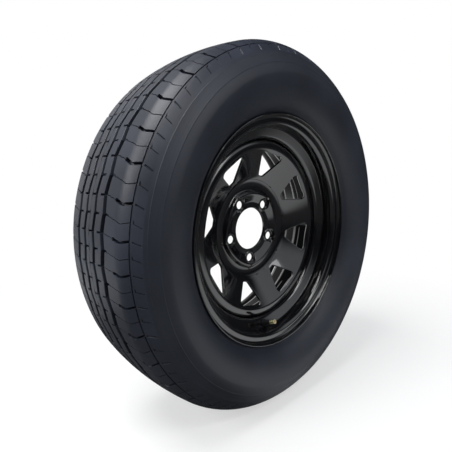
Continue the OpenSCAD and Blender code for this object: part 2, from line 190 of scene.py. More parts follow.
# %% Points and lines
def on_wheel(radius, clock, out):
    """Blender place of a point given by radius, clock angle in radians and distance towards the street."""
    return np.stack(np.broadcast_arrays(radius * np.sin(clock), -1.0 * out, radius * np.cos(clock)), -1) * MM


def full_turn(columns):
    """Even angles once round, in radians."""
    return np.arange(columns) / columns * 2 * math.pi


def unit(vectors):
    return vectors / np.linalg.norm(vectors, axis=-1, keepdims=True)


def leftward(steps):
    """Unit vectors to the left of flat steps."""
    return unit(np.stack([-steps[:, 1], steps[:, 0]], -1))


def run_of(line):
    """Length along a line up to each of its points."""
    return np.concatenate([[0], np.cumsum(np.linalg.norm(np.diff(line, axis=0), axis=1))])


def at_run(run, length, values):
    """Values given at the points of a line, read at other lengths along it."""
    return np.stack([np.interp(length, run, values[:, k]) for k in (0, 1)], -1)


def corner_arc(a, b, c, radius, steps):
    """Points of the arc that rounds the corner at b between a and c."""
    u = (a - b) / np.linalg.norm(a - b)
    v = (c - b) / np.linalg.norm(c - b)
    half = math.acos(max(-1.0, min(1.0, float(u @ v)))) / 2
    centre = b + (u + v) / np.linalg.norm(u + v) * radius / math.sin(half)
    start = b + u * radius / math.tan(half) - centre
    end = b + v * radius / math.tan(half) - centre
    first = math.atan2(start[1], start[0])
    turn = math.atan2(start[0] * end[1] - start[1] * end[0], float(start @ end))
    angles = [first + turn * i / steps for i in range(steps + 1)]
    return [centre + radius * np.array([math.cos(angle), math.sin(angle)]) for angle in angles]


def rounded(corners, steps):
    """A line through corners given as (radius, out, fillet). A corner without a fillet stays sharp."""
    points = [np.array(c[:2], float) for c in corners]
    line = []
    for i, corner in enumerate(corners):
        if len(corner) > 2 and 0 < i < len(corners) - 1:
            line += corner_arc(points[i - 1], points[i], points[i + 1], corner[2], steps)
        else:
            line.append(points[i])
    return np.array(line)


def arc(centre, radius, start, end, steps):
    angles = np.radians(np.linspace(start, end, steps + 1))
    return np.array(centre) + radius * np.stack([np.cos(angles), np.sin(angles)], -1)


def mitred(line, distance):
    """The line shifted to its left, with its corners kept at the full distance."""
    side = leftward(np.diff(line, axis=0))
    before = np.vstack([side[:1], side])
    after = np.vstack([side, side[-1:]])
    return line + (before + after) / (1 + (before * after).sum(1, keepdims=True)) * distance


print("a quarter turn is", full_turn(4)[1], "radians")

# %% [markdown]
# ## From points to a piece
# Nearly every piece here is a grid of points bent round the wheel, so one helper makes the quads of a grid
# that closes on itself, and another makes the Blender object. A primitive would be quicker, but its points
# couldn't be placed on the edges of a groove or a lip.


# %% Meshes
COINCIDE = 1e-7


def grid_faces(rows, columns, wrap_rows=False, first=0):
    """Quads of a grid that closes round the wheel. Its points are counted along a row first."""
    index = np.arange(rows * columns).reshape(rows, columns) + first
    if wrap_rows:
        index = np.vstack([index, index[:1]])
    index = np.hstack([index, index[:, :1]])
    return np.stack([index[:-1, :-1], index[:-1, 1:], index[1:, 1:], index[1:, :-1]], -1).reshape(-1, 4)


def turn_outward(mesh):
    """Joins points that coincide, and turns every face outward."""
    work = bmesh.new()
    work.from_mesh(mesh)
    bmesh.ops.remove_doubles(work, verts=work.verts, dist=COINCIDE)
    bmesh.ops.recalc_face_normals(work, faces=work.faces)
    work.to_mesh(mesh)
    work.free()


def make_piece(name, points, faces, shader, sharp=35):
    """A smooth mesh piece that rides on the wheel. Edges sharper than an angle in degrees stay crisp."""
    mesh = bpy.data.meshes.new(name)
    mesh.from_pydata(np.asarray(points).reshape(-1, 3).tolist(), [], [list(map(int, f)) for f in faces])
    mesh.validate()
    piece = bpy.data.objects.new(name, mesh)
    bpy.context.scene.collection.objects.link(piece)
    mesh.materials.append(shader.material)
    turn_outward(mesh)
    mesh.shade_smooth()
    mesh.set_sharp_from_angle(angle=math.radians(sharp))
    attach(piece, "wheel")
    print(name, len(mesh.polygons), "faces")
    return piece


# %% [markdown]
# ## Materials
# The photograph shows four kinds of surface. The tread is a worn looking blue-grey rubber, and the sidewall
# below it is darker and a little shinier. The wheel is black gloss paint, which is dark with sharp white
# reflections. The valve shows bare brass at its mouth and black rubber below. Each has its own recipe. Noise
# scales count per metre, so 900 is a grain of about a millimetre.


# %% Rubber and paint
def tread_rubber():
    """Rubber that is lighter where it has been handled, with a fine grain."""
    rubber = Shader("tread_rubber", Specular_IOR_Level=0.42)
    cloud = rubber.noise(14.0, 4.0)
    grain = rubber.noise(900.0, 2.0)
    tone = (cloud * 0.6 + grain * 0.4).between(0.35, 0.68)
    rubber.set(Base_Color=rubber.mix(tone, (0.0105, 0.0130, 0.0215, 1), (0.0190, 0.0230, 0.0360, 1)),
               Roughness=0.40 + cloud * 0.16,
               Normal=rubber.bump(grain, 0.05, 0.6))
    return rubber


def sidewall_rubber():
    """Darker rubber with a soft sheen and a very fine mould grain."""
    rubber = Shader("sidewall_rubber", Specular_IOR_Level=0.40)
    cloud = rubber.noise(9.0, 4.0)
    grain = rubber.noise(1100.0, 2.0)
    tone = cloud.between(0.3, 0.7)
    rubber.set(Base_Color=rubber.mix(tone, (0.0110, 0.0136, 0.0212, 1), (0.0170, 0.0205, 0.0305, 1)),
               Roughness=0.42 + cloud * 0.14,
               Normal=rubber.bump(grain, 0.04, 0.5))
    return rubber


def gloss_paint():
    """Black gloss paint over sheet steel, with a faint orange peel in its clear coat."""
    paint = Shader("gloss_paint", Coat_Roughness=0.03, Specular_IOR_Level=0.5)
    peel = paint.noise(260.0, 1.0)
    dust = paint.noise(35.0, 5.0)
    paint.set(Base_Color=(0.004, 0.004, 0.005, 1),
              Roughness=0.05 + dust * 0.06,
              Coat_Weight=0.8,
              Normal=paint.bump(peel, 0.02, 0.35))
    return paint


def weld_paint():
    """The same paint where it lies thick and uneven over a weld bead."""
    paint = Shader("weld_paint")
    lumps = paint.noise(420.0, 3.0)
    paint.set(Base_Color=(0.006, 0.006, 0.007, 1), Roughness=0.22 + lumps * 0.16, Coat_Weight=0.4,
              Normal=paint.bump(lumps, 0.12, 0.7))
    return paint


def valve_black():
    """Smooth moulded rubber of the snap-in valve."""
    rubber = Shader("valve_black", Specular_IOR_Level=0.45)
    bloom = rubber.noise(160.0, 3.0)
    rubber.set(Base_Color=rubber.mix(bloom, (0.008, 0.009, 0.010, 1), (0.018, 0.019, 0.021, 1)),
               Roughness=0.40 + bloom * 0.18, Normal=rubber.bump(rubber.noise(1500.0), 0.03, 0.5))
    return rubber


TREAD_RUBBER = tread_rubber()
SIDEWALL_RUBBER = sidewall_rubber()
PAINT = gloss_paint()
WELD_PAINT = weld_paint()
VALVE_BLACK = valve_black()
print("materials", len(bpy.data.materials))

# %% [markdown]
# The core of the valve is small and lies deep in the stem, but it shows when someone looks straight in. Its
# brass and steel share one recipe, with other colours, and its seal is a pale plastic.


# %% Metals and the seal
def metal(name, light, dark, rough):
    """Bare metal that has dulled in patches."""
    body = Shader(name, Metallic=1.0)
    patches = body.noise(500.0, 4.0)
    body.set(Base_Color=body.mix(patches.between(0.35, 0.7), light, dark), Roughness=rough + patches * 0.18,
             Normal=body.bump(patches, 0.015, 0.4))
    return body


def pale_seal():
    """The pale plastic ring that seals the core in the valve."""
    ring = Shader("pale_seal", Roughness=0.45)
    ring.set(Base_Color=ring.mix(ring.noise(900.0), (0.62, 0.60, 0.54, 1), (0.74, 0.72, 0.67, 1)))
    return ring


BRASS = metal("brass", (0.72, 0.52, 0.22, 1), (0.42, 0.31, 0.14, 1), 0.24)
PIN_BRASS = metal("pin_brass", (0.80, 0.55, 0.24, 1), (0.60, 0.40, 0.18, 1), 0.22)
SPRING_STEEL = metal("spring_steel", (0.62, 0.62, 0.63, 1), (0.45, 0.45, 0.47, 1), 0.25)
PALE_SEAL = pale_seal()
print("materials", len(bpy.data.materials))

# %% [markdown]
# ## The tyre's outline
# The crown is nearly flat and each shoulder follows a squarish curve down to the widest point. The tread
# pattern is laid on this outline by its length, measured over the surface from the middle of the tread.

# %% Tyre outline
TYRE_R = 327.3
HALF_WIDTH = 109.6
WIDEST_R = 264.9
CROWN_HALF = 62.7
CROWN_DROP = 4.1
SHOULDER_POWER = 1.6
PATCH_DEPTH = 2.0
PATCH_Z = -(TYRE_R - PATCH_DEPTH)


def crown_and_shoulder(count=700):
    """Points (radius, out) from the middle of the tread to the widest point."""
    out = np.linspace(0, CROWN_HALF, 160)[:-1]
    crown = np.stack([TYRE_R - CROWN_DROP * (out / CROWN_HALF) ** 2, out], -1)
    turn = np.radians(np.linspace(0, 90, count))
    shoulder = np.stack([
        WIDEST_R + (TYRE_R - CROWN_DROP - WIDEST_R) * np.cos(turn) ** (2 / SHOULDER_POWER),
        CROWN_HALF + (HALF_WIDTH - CROWN_HALF) * np.sin(turn) ** (2 / SHOULDER_POWER)], -1)
    return np.vstack([crown, shoulder])


OUTLINE = crown_and_shoulder()
OUTLINE_S = run_of(OUTLINE)
OUTLINE_N = -leftward(np.gradient(OUTLINE, axis=0))


def on_outline(s):
    """Place and outward normal on the tyre's outline at a surface distance from its middle."""
    return at_run(OUTLINE_S, s, OUTLINE), unit(at_run(OUTLINE_S, s, OUTLINE_N))


print("outline", round(OUTLINE_S[-1], 1), "mm from the middle of the tread to the widest point")

# %% [markdown]
# ## The rim's line
# The tyre's bead and the rim share one line: the rim's face that the tyre sits on. It runs from the street
# flange's curled lip over the bead seat and hump, through the well, and out to the other flange. It is kept
# as a line of (radius, out) points, because both pieces are offset from it.

# %% Rim line
BARREL_T = 3.0
SEAT_R = 190.1
SEAT_W = 18.4
SEAT_TILT = math.radians(5)
FLANGE_Z = 69.85
FLANGE_H = 17.6
FLANGE_W = 13
CURL_R = 9.5
CURL_CENTRE = (SEAT_R + FLANGE_H - CURL_R, FLANGE_Z + CURL_R)
HEEL_R = 6.5
SEAT_END = (SEAT_R - SEAT_W * math.tan(SEAT_TILT), FLANGE_Z - SEAT_W)
HUMP = (SEAT_END[0] + 1.2, 47.6)
HUMP_ROUND = 4
WELL_R = 170.5
WELL_OUT = 40.0
WELL_IN = -9
WELL_ROUND = 6
LEDGE_R = (181.5, 182.5)
LEDGE_OUT = -18
LEDGE_ROUND = 8


def seat_side():
    """Flange curl and bead seat of the rim, on the side that the tyre touches."""
    tip = math.degrees(math.asin((FLANGE_W - CURL_R) / CURL_R))
    curl = arc(CURL_CENTRE, CURL_R, tip, -90, 24)
    foot, heel = np.array([CURL_CENTRE[0], FLANGE_Z]), np.array([SEAT_R, FLANGE_Z])
    return np.vstack([curl, corner_arc(foot, heel, np.array(SEAT_END), HEEL_R, 12)])


def flip(line):
    """The line mirrored to the other side of the wheel, with its direction kept."""
    return line[::-1] * [1, -1]


def rim_line():
    """The rim's tyre side, from the street flange's tip to the hub side flange's tip."""
    street = rounded([(*SEAT_END,), (*HUMP, HUMP_ROUND), (WELL_R, WELL_OUT, WELL_ROUND), (WELL_R, 0)], 10)
    hub = rounded([(WELL_R, 0), (WELL_R, WELL_IN, WELL_ROUND), (LEDGE_R[0], LEDGE_OUT, WELL_ROUND),
                   (LEDGE_R[1], 6 - HUMP[1], LEDGE_ROUND), (HUMP[0], -HUMP[1], HUMP_ROUND),
                   (SEAT_END[0], -SEAT_END[1])], 10)
    return np.vstack([seat_side(), street, hub[1:], flip(seat_side())])


RIM_LINE = rim_line()
print("rim line", len(RIM_LINE), "points")

# %% [markdown]
# ## Tread pattern
# The pattern repeats 42 times round the tyre, in pitches of three lengths that are mixed so that the tyre
# doesn't hum on one note. In each pitch the four long grooves lean one way and then back, so they run round
# the tyre as zigzags. They are deep in one half and shallower in the other. Where the halves meet, short
# cuts run from the grooves into the ribs. Each shoulder has one wide slot and one thin cut, bent like an S.
#
# A plain grid can't follow slanting grooves with crisp edges. So the pattern is written in straight
# coordinates, u round the tyre and s across it, and the grid itself is bent: `zigzag` moves points across
# the tread and `slot_bend` moves them round it. Grid lines then lie exactly on the edges of every cut.

# %% Pitches and bends
PITCHES = 42
PITCH = 2 * math.pi * TYRE_R / PITCHES
HALF = PITCH / 2
PITCH_TURNS = {"L": 9.39, "M": 8.79, "S": 7.87}
PITCH_ORDER = "LMLSSSMLSLLML" + "SMSSLMSSMLSMSSMLSSMSLMSSMLSMS"
FIRST_PITCH = 225.1
SWING = 1.5


def pitch_clock(pitches):
    """Clock angle in radians after a number of pitches. All of them together make one whole turn."""
    turns = np.array([PITCH_TURNS[kind] for kind in PITCH_ORDER])
    ends = FIRST_PITCH + np.concatenate([[0], np.cumsum(turns)]) * 360 / turns.sum()
    whole_turns = np.floor(pitches / PITCHES)
    within = np.interp(pitches - PITCHES * whole_turns, np.arange(PITCHES + 1), ends)
    return np.radians(within + 360 * whole_turns)


def ramp(x, low, high):
    return np.clip((x - low) / (high - low), 0, 1)


def zigzag(u, s):
    """How far the long grooves swing across the tread; it dies out in the shoulder."""
    swing = np.interp(u, [0, HALF, PITCH], [-SWING, SWING, -SWING])
    return swing * (1 - ramp(s, 42, 52))


def slot_bend(s):
    """How far the shoulder slots lean round the tyre at each distance across it."""
    across = [42, 47, 50, 54, 60, 63, 72, 75, 86, 90, 104]
    round_it = [0, -0.5, -2.5, -2.5, -5, -5, -9, -9, -6.5, -7.3, -13]
    return np.interp(s, across, round_it)


print("longest pitch", round(max(PITCH_TURNS.values()) / min(PITCH_TURNS.values()), 2), "times the shortest")

# %% [markdown]
# The depth of every cut is written once, for one pitch. A cut is a mask from 0 to 1 with straight walls,
# times its depth, and where two cuts cross, the deeper one counts. Half widths come in pairs: at the top of
# the cut and at its floor.

# %% Depth of the pattern
GROOVES = ((13.0, 3.4), (37.0, 4.5))
DEEP = 8.0
SHALLOW = 5.0
GROOVE_EDGE = 0.35
SHORT_CUT = 8
SHORT_CUT_DEPTH = 4.0
WEDGE_HALF = (1.5, 0.56)
THIN_HALF = (0.56, 0.34)
RIB_EDGE = (41.8, 42.4)
RIB_END = (60.4, 61)
WIDE_SIDE_DEPTH = 4.5
THIN_SIDE_DEPTH = 4.0
SLOT_FROM = 61.0
SLOT_NECK = 69.5
SLOT_TO = 85.9
SLOT_START = (SLOT_FROM - 0.5, SLOT_FROM)
SLOT_END = (SLOT_TO, SLOT_TO + 0.4)
SLOT_DEPTH = 6.5
SLOT_HALF = (1.75, 1.25)
NECK_HALF = (0.85, 0.75)
FINE_GROOVE_S = 87.0
FINE_GROOVE_HALF = (0.9, 0.5)
FINE_GROOVE_DEPTH = 1.6
SLIT_START = (90, 90.6)
SLIT_END = (102, 102.6)
SLIT_DEPTH = 1.5
HOOK_END = (91.4, 92)
HOOK_HALF = (2.6, 2.0)
HOOK_DEPTH = 1.2


def cut(distance, top, floor):
    """1 on the floor of a cut, 0 beyond its top edge, with a straight wall between."""
    return 1 - ramp(np.abs(distance), floor, top)


def span(s, start, end):
    """1 between two walls across the tread, each given by where it starts and ends."""
    return ramp(s, *start) * (1 - ramp(s, *end))


def groove_layers(s, centre, half, deep_half, from_wide, from_thin):
    """One long groove, its broken edge and the short cuts that run from it into the ribs."""
    off = s - centre
    steep = DEEP * cut(off, half, half - 0.6)
    sloped = SHALLOW * cut(off, half - 0.4, half - 1.4)
    far_in, far_out = centre - half - SHORT_CUT, centre + half + SHORT_CUT
    inward = ramp(s, far_in, far_in + 0.6) * (s < centre) * cut(from_wide, *WEDGE_HALF)
    outward_half = 0.4 + 1.2 * (1 - ramp(s, centre + half, far_out))
    outward = (s > centre) * (1 - ramp(s, far_out - 0.4, far_out + 0.4))
    return [deep_half * steep + (1 - deep_half) * sloped, GROOVE_EDGE * cut(off, half + 0.5, half),
            SHORT_CUT_DEPTH * inward,
            SHORT_CUT_DEPTH * outward * cut(from_thin, outward_half + 0.25, outward_half)]


def pattern_depth(u, s):
    """Depth of the pattern below the tyre's outline, with u measured from a wide slot."""
    from_wide = np.minimum(u, PITCH - u)
    from_thin = np.abs(u - HALF)
    deep_half = cut(u - HALF / 2, HALF / 2 + 0.01, HALF / 2 - 0.34)
    neck = 1 - ramp(s, SLOT_NECK, SLOT_NECK + 3)
    slot_half = [beyond + extra * neck for beyond, extra in zip(SLOT_HALF, NECK_HALF)]
    slits = np.maximum(cut(from_wide, *WEDGE_HALF), cut(from_thin, *THIN_HALF))
    layers = [
        WIDE_SIDE_DEPTH * span(s, RIB_EDGE, RIB_END) * cut(from_wide, *THIN_HALF),
        THIN_SIDE_DEPTH * span(s, RIB_EDGE, SLOT_END) * cut(from_thin, *THIN_HALF),
        SLOT_DEPTH * span(s, SLOT_START, SLOT_END) * cut(from_wide, *slot_half),
        FINE_GROOVE_DEPTH * cut(s - FINE_GROOVE_S, *FINE_GROOVE_HALF),
        SLIT_DEPTH * span(s, SLIT_START, SLIT_END) * slits,
        HOOK_DEPTH * span(s, SLIT_START, HOOK_END) * (u > HALF) * cut(u - HALF - 2, *HOOK_HALF)]
    for centre, half in GROOVES:
        layers += groove_layers(s, centre, half, deep_half, from_wide, from_thin)
    return np.maximum.reduce(layers)


print("deepest cut", DEEP, "mm")

# %% [markdown]
# The grid has a line on both edges of every cut's top and floor, and a few more where the shoulder bends.
# An even grid fine enough to show a thin cut would need many times the points.

# %% Tread
TREAD_END = 104.0
COLUMNS = (-HALF / 2, -8, -4.5, -2.6, -2.0, -1.5, -0.56, -0.34, 0, 0.34, 0.56, 1.5, 2.0, 2.6, 4.5, 8)


def tread_columns():
    """Places of the grid lines round the tyre, two sets to a pitch."""
    return np.concatenate([np.array(COLUMNS) + HALF * k for k in range(2 * PITCHES)])


def tread_rows():
    """Places of the grid lines across half of the tread, on the edges of every cut."""
    rows = [0, 3.5, 20, 30, 42, 42.4, 45, 47, 48.5, 50, 52, 54, 57, 60, 60.5, 61, 63, 65.5, 68, 70.5, 72,
            73.5, 75, 77.5, 80, 83, 85.9, 86.1, 86.5, 87.5, 87.9, 90, 90.6, 91.4, 92, 94.5, 97, 99.5, 102,
            102.6, TREAD_END]
    for centre, half in GROOVES:
        rows += [centre + side * (half - step) for side in (-1, 1) for step in (-0.5, 0, 0.4, 0.6, 1.4)]
        rows += [centre - half - step for step in (SHORT_CUT, SHORT_CUT - 0.6)]
        rows += [centre + half + step for step in (2.5, 5, SHORT_CUT - 0.4, SHORT_CUT + 0.4)]
    rows = np.unique(np.round(rows, 2))
    return rows[np.concatenate([[True], np.diff(rows) > 0.15])]


def flattened(points):
    """The points with the tyre's foot pressed flat, as it stands on a floor."""
    points[..., 2] = np.maximum(points[..., 2], PATCH_Z * MM)
    return points


def half_tread(name, side):
    """One half of the tread as a bent grid. side is 1 on the street side and -1 on the hub side.

    The hub side is turned by half a pitch, so that no slot faces another across the tread."""
    columns = tread_columns()
    rows = tread_rows()
    s, u = np.meshgrid(rows, columns, indexing="ij")
    local = np.mod(u, PITCH)
    depth = pattern_depth(local, s)
    place, normal = on_outline(np.maximum(s + zigzag(local, s), 0))
    point = place - normal * depth[..., None]
    pitches = side * (u + slot_bend(s)) / PITCH + (0 if side > 0 else 0.5)
    points = flattened(on_wheel(point[..., 0], pitch_clock(pitches), side * point[..., 1]))
    piece = make_piece(name, points, grid_faces(len(rows), len(columns)), TREAD_RUBBER, 30)
    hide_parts("tyre")
    return piece


half_tread("tread_street", 1)
half_tread("tread_hub", -1)

# %% [markdown]
# ## Sidewalls, beads and the inside
# One closed line runs from the street shoulder down the sidewall, round the bead, along the inside and out
# again on the hub side. Turned round the axle, it makes all of the tyre below the tread. Two fine rings are
# moulded on each sidewall, and the band between them is slightly hollow.

# %% Sidewalls
RING_RADII = (295.0, 281.0)
RING_H = 0.35
RING_FOOT = 0.8
RING_TOP = 0.35
HOLLOW = 0.45
HOLLOW_HALF = (5.2, 3.0)
LOWER_WALL = ((0, 0), (13.9, 1.7), (26.9, 6), (38.9, 12.3))
BEAD_GAP = 0.1
TOE_Z = FLANGE_Z - 17
CROWN_T = 14
WALL_T = 8
SIDEWALL_COLUMNS = 360


def eased(line, rounds=3):
    """Cuts the corners of a line again and again until it is smooth; its ends stay."""
    for _ in range(rounds):
        near = line[:-1] * 0.75 + line[1:] * 0.25
        far = line[:-1] * 0.25 + line[1:] * 0.75
        line = np.vstack([line[:1], np.stack([near, far], 1).reshape(-1, 2)[1:-1], line[-1:]])
    return line


def relief(radius):
    """Height of the moulded rings and depth of the hollow band between them."""
    rings = sum(RING_H * cut(radius - ring, RING_FOOT, RING_TOP) for ring in RING_RADII)
    return rings - HOLLOW * cut(radius - sum(RING_RADII) / 2, *HOLLOW_HALF)


def outer_half():
    """From the tread's edge to the rim's flange, on the street side."""
    edges = np.array([RING_FOOT, RING_TOP, -RING_TOP, -RING_FOOT])
    s = np.unique(np.concatenate([np.linspace(TREAD_END, OUTLINE_S[-1], 26)] + [
        np.interp(ring + edges, OUTLINE[::-1, 0], OUTLINE_S[::-1]) for ring in RING_RADII]))
    place, normal = on_outline(s)
    upper = place + normal * relief(place[:, :1])
    curl_r, curl_out = CURL_CENTRE
    lower = eased(np.array([(WIDEST_R - down, HALF_WIDTH - narrower) for down, narrower in LOWER_WALL] + [
        (curl_r + CURL_R + 8, curl_out + 9.6), (curl_r + CURL_R + 2.6, curl_out + 1.2)]))
    return np.vstack([upper, lower[1:]])


def bead_half():
    """The tyre's face against the rim, from the flange to the toe."""
    line = mitred(RIM_LINE, BEAD_GAP)
    return line[(line[:, 1] > TOE_Z) & (line[:, 1] < CURL_CENTRE[1] - 1)]


def inner_half(toe_r):
    """The inside, from the toe up to the middle of the crown."""
    curl_r = CURL_CENTRE[0]
    return rounded([(toe_r, TOE_Z - 1), (SEAT_R + 6, TOE_Z - 1), (curl_r + 6, FLANGE_Z - 8, 12),
                    (WIDEST_R - 12, HALF_WIDTH - WALL_T, 20), (WIDEST_R + 18, HALF_WIDTH - WALL_T - 2, 20),
                    (TYRE_R - CROWN_T - CROWN_DROP, CROWN_HALF + 10, 26), (TYRE_R - CROWN_T, 0)], 6)


def carcass():
    """Both sidewalls, beads and the inside, as one line turned round the axle."""
    bead = bead_half()
    street = np.vstack([outer_half(), bead, inner_half(bead[-1, 0])])
    section = np.vstack([street, flip(street)[1:]])
    points = flattened(on_wheel(section[:, :1], full_turn(SIDEWALL_COLUMNS), section[:, 1:2]))
    faces = grid_faces(len(section), SIDEWALL_COLUMNS)
    piece = make_piece("tyre_sidewalls", points, faces, SIDEWALL_RUBBER, 38)
    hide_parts("tyre")


carcass()

# %% [markdown]
# ## The rim's barrel
# The rim is one rolled sheet: flange curls, bead seats, humps and the drop in the middle that lets a tyre be
# fitted. The same line as in the CAD is used, with finer arcs and with its cut edges rolled over.

# %% Rim barrel
BARREL_COLUMNS = 312
VALVE_CLOCK = math.radians(183.4)
VALVE_HOLE_R = 5.75


def rolled_end(line, thickness, keep=6):
    """Half circle that closes a sheet at the start of its line, and the line without its first stretch."""
    length = run_of(line)
    half = thickness / 2
    start = at_run(length, half, line)
    ahead = (line[2] - line[0]) / np.linalg.norm(line[2] - line[0])
    left = np.array([-ahead[1], ahead[0]])
    centre = start - left * half
    turns = np.linspace(-math.pi / 2, math.pi / 2, keep + 1)
    cap = [centre - ahead * half * math.cos(t) + left * half * math.sin(t) for t in turns]
    return np.array(cap), line[length > half]


def sheet_section(line, thickness):
    """Closed section of a sheet that lies to the right of its line, with rolled ends."""
    first_cap, trimmed = rolled_end(line, thickness)
    last_cap, trimmed = rolled_end(flip(trimmed), thickness)
    trimmed = flip(trimmed)
    return np.vstack([first_cap[1:-1], trimmed, flip(last_cap)[1:-1], mitred(trimmed, -thickness)[::-1]])


def valve_line():
    """Origin and direction of the valve's axis as (radius, out): square to the wall of the well."""
    top, foot = np.array(HUMP), np.array((WELL_R, WELL_OUT))
    axis = leftward((top - foot)[None, :])[0]
    return (top + foot) / 2 + axis * BARREL_T, axis


def on_valve(radius, turn, height):
    """Blender place of a point round the valve's axis."""
    seat, axis = valve_line()
    across = np.array([axis[1], -axis[0]])
    radial = radius * np.cos(turn)
    sideways = radius * np.sin(turn)
    r, out = (seat[k] + axis[k] * height + across[k] * radial for k in (0, 1))
    flat = on_wheel(r, VALVE_CLOCK, out)
    side = np.array([math.cos(VALVE_CLOCK), 0, -math.sin(VALVE_CLOCK)]) * MM
    return flat + sideways[..., None] * side


def punch(piece, radius, low, high):
    """Cuts a round hole along the valve's axis."""
    columns = 64
    wall = on_valve(radius, *np.broadcast_arrays(full_turn(columns), np.array([[low], [high]])))
    ends = [list(range(columns - 1, -1, -1)), list(range(columns, 2 * columns))]
    mesh = bpy.data.meshes.new("punch")
    mesh.from_pydata(wall.reshape(-1, 3).tolist(), [], grid_faces(2, columns).tolist() + ends)
    turn_outward(mesh)
    tool = bpy.data.objects.new("punch", mesh)
    bpy.context.scene.collection.objects.link(tool)
    cutter = piece.modifiers.new("punch", "BOOLEAN")
    cutter.operation = "DIFFERENCE"
    cutter.solver = "EXACT"
    cutter.object = tool
    result = bpy.data.meshes.new_from_object(piece.evaluated_get(bpy.context.evaluated_depsgraph_get()))
    piece.modifiers.clear()
    piece.data = result
    bpy.data.objects.remove(tool)
    result.shade_smooth()
    result.set_sharp_from_angle(angle=math.radians(30))


RIM_SECTION = sheet_section(RIM_LINE, BARREL_T)
barrel_points = on_wheel(RIM_SECTION[:, :1], full_turn(BARREL_COLUMNS), RIM_SECTION[:, 1:2])
barrel_faces = grid_faces(len(RIM_SECTION), BARREL_COLUMNS, wrap_rows=True)
barrel = make_piece("rim_barrel_sheet", barrel_points, barrel_faces, PAINT, 40)
punch(barrel, VALVE_HOLE_R, -2 * BARREL_T, BARREL_T)
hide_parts("rim_barrel")
print("barrel section", len(RIM_SECTION), "points")

# %% [markdown]
# ## The pressed disc
# The disc is one sheet, pressed into a shallow dish, so its street face is a height over the wheel's plane.
# The height is written as one function of radius and angle. Round the hub it rises to a ridge with five
# lobes, one between each two lug holes, so a crease runs out from every hole. Holes are laid out as round
# patches: rings of points follow the hole's edge and spread out to fill the patch. The first rings lie close
# together and curve down, because a punched edge is never quite sharp.

# %% Height of the disc
DISC_T = 4.5
BORE_R = 40.5
LUG_COUNT = 5
LUG_CLOCK = math.radians(183.4)
LUG_CIRCLE_R = 57.15
LUG_HOLE_R = 7.6
LUG_SEAT_R = 9.5
LUG_BOSS_R = 11.5
BOSS_TOP = 6.0
RIDGE_R = 75.0
LOBE_OFFSET = 27.8
RIDGE_FOOT_R = 52.0
RIDGE_TOP = (67.0, 70.5)
RIDGE_H = 6.5
RIDGE = rounded([(RIDGE_FOOT_R - 3, 0), (RIDGE_FOOT_R, 0, 4), (RIDGE_TOP[0], RIDGE_H, 2.5),
                 (RIDGE_TOP[1], RIDGE_H, 1.8), (RIDGE_R, 0, 2.2), (RIDGE_R + 3, 0)], 10)
LEAN = (58, 14)
CREASE_DEPTH = 2.0
CREASE_W = 1.5
CREASE_IN = (64, 4)
CREASE_OUT = (76, 5)
BOSS_SLOPE = 2.2
DISH_START_R = 91.0
CREST_R = 151.95
CREST_OUT = 39.0
FLANGE_FACE_R = 167.45
FLANGE_DEPTH = 33.0
WINDOW_COUNT = 8
WINDOW_CLOCK = math.radians(12.5)
WINDOW_TIP_R = 103.0
WINDOW_BASE_R = 143.95
WINDOW_BASE_W = 66.0
WINDOW_TIP_W = 12.0
WINDOW_CORNER_R = 6.0
EDGE_ROUND = 0.8

DISH = rounded([(BORE_R - 5, DISC_T), (DISH_START_R, DISC_T, 44), (CREST_R, CREST_OUT, 13),
                (FLANGE_FACE_R, CREST_OUT, 8), (FLANGE_FACE_R, CREST_OUT - FLANGE_DEPTH)], 16)
DISH_FACE = DISH[DISH[:, 0] < CREST_R]
LUG_STEP = 2 * math.pi / LUG_COUNT


def lobe_radius(clock):
    """How far the ridge's foot reaches at an angle: the nearest of five large offset circles."""
    off_middle = np.mod(clock - LUG_CLOCK, LUG_STEP) - LUG_STEP / 2
    big = RIDGE_R + LOBE_OFFSET
    return -LOBE_OFFSET * np.cos(off_middle) + np.sqrt(big ** 2 - (LOBE_OFFSET * np.sin(off_middle)) ** 2)


def soft_step(x, start=0.0, length=1.0):
    """0 before start, 1 a length after it, and smooth between."""
    x = np.clip((x - start) / length, 0, 1)
    return x * x * (3 - 2 * x)


def disc_height(radius, clock):
    """Street face of the disc above the hub face, in millimetres."""
    across = radius - (lobe_radius(clock) - RIDGE_R) * soft_step(radius, *LEAN)
    face = np.interp(radius, DISH_FACE[:, 0], DISH_FACE[:, 1]) + np.interp(across, RIDGE[:, 0], RIDGE[:, 1])
    off_lug = np.mod(clock - LUG_CLOCK + LUG_STEP / 2, LUG_STEP) - LUG_STEP / 2
    beside, ahead = radius * np.sin(off_lug), radius * np.cos(off_lug)
    crease = CREASE_DEPTH * np.exp(-(beside / CREASE_W) ** 2) * soft_step(radius, *CREASE_IN)
    face = face - crease * (1 - soft_step(radius, *CREASE_OUT))
    onto_boss = 1 - soft_step(np.hypot(ahead - LUG_CIRCLE_R, beside), LUG_BOSS_R, BOSS_SLOPE)
    return face + (BOSS_TOP - face) * onto_boss


def disc_normal(x, y):
    """Outward normal of the street face, by small steps to either side. x and y lie in the wheel's plane."""
    step = 0.05

    def height(a, b):
        return disc_height(np.hypot(a, b), np.arctan2(a, b))

    along_x = (height(x + step, y) - height(x - step, y)) / (2 * step)
    along_y = (height(x, y + step) - height(x, y - step)) / (2 * step)
    return unit(np.stack([-along_x, -along_y, np.ones_like(x)], -1))


print("dish section", len(DISH), "points, ridge", RIDGE_H, "mm high")

# %% [markdown]
# A patch is laid out flat first. `spread` fills the space between a hole's outline and the patch's border
# with rings. `both_faces` then lifts it onto the street face, offsets it through the sheet for the back, and
# joins the two round the hole.

# %% Patches of the disc
def resample(line, count):
    """The line with a given number of even steps."""
    length = run_of(line)
    return at_run(length, np.linspace(0, length[-1], count + 1), line)


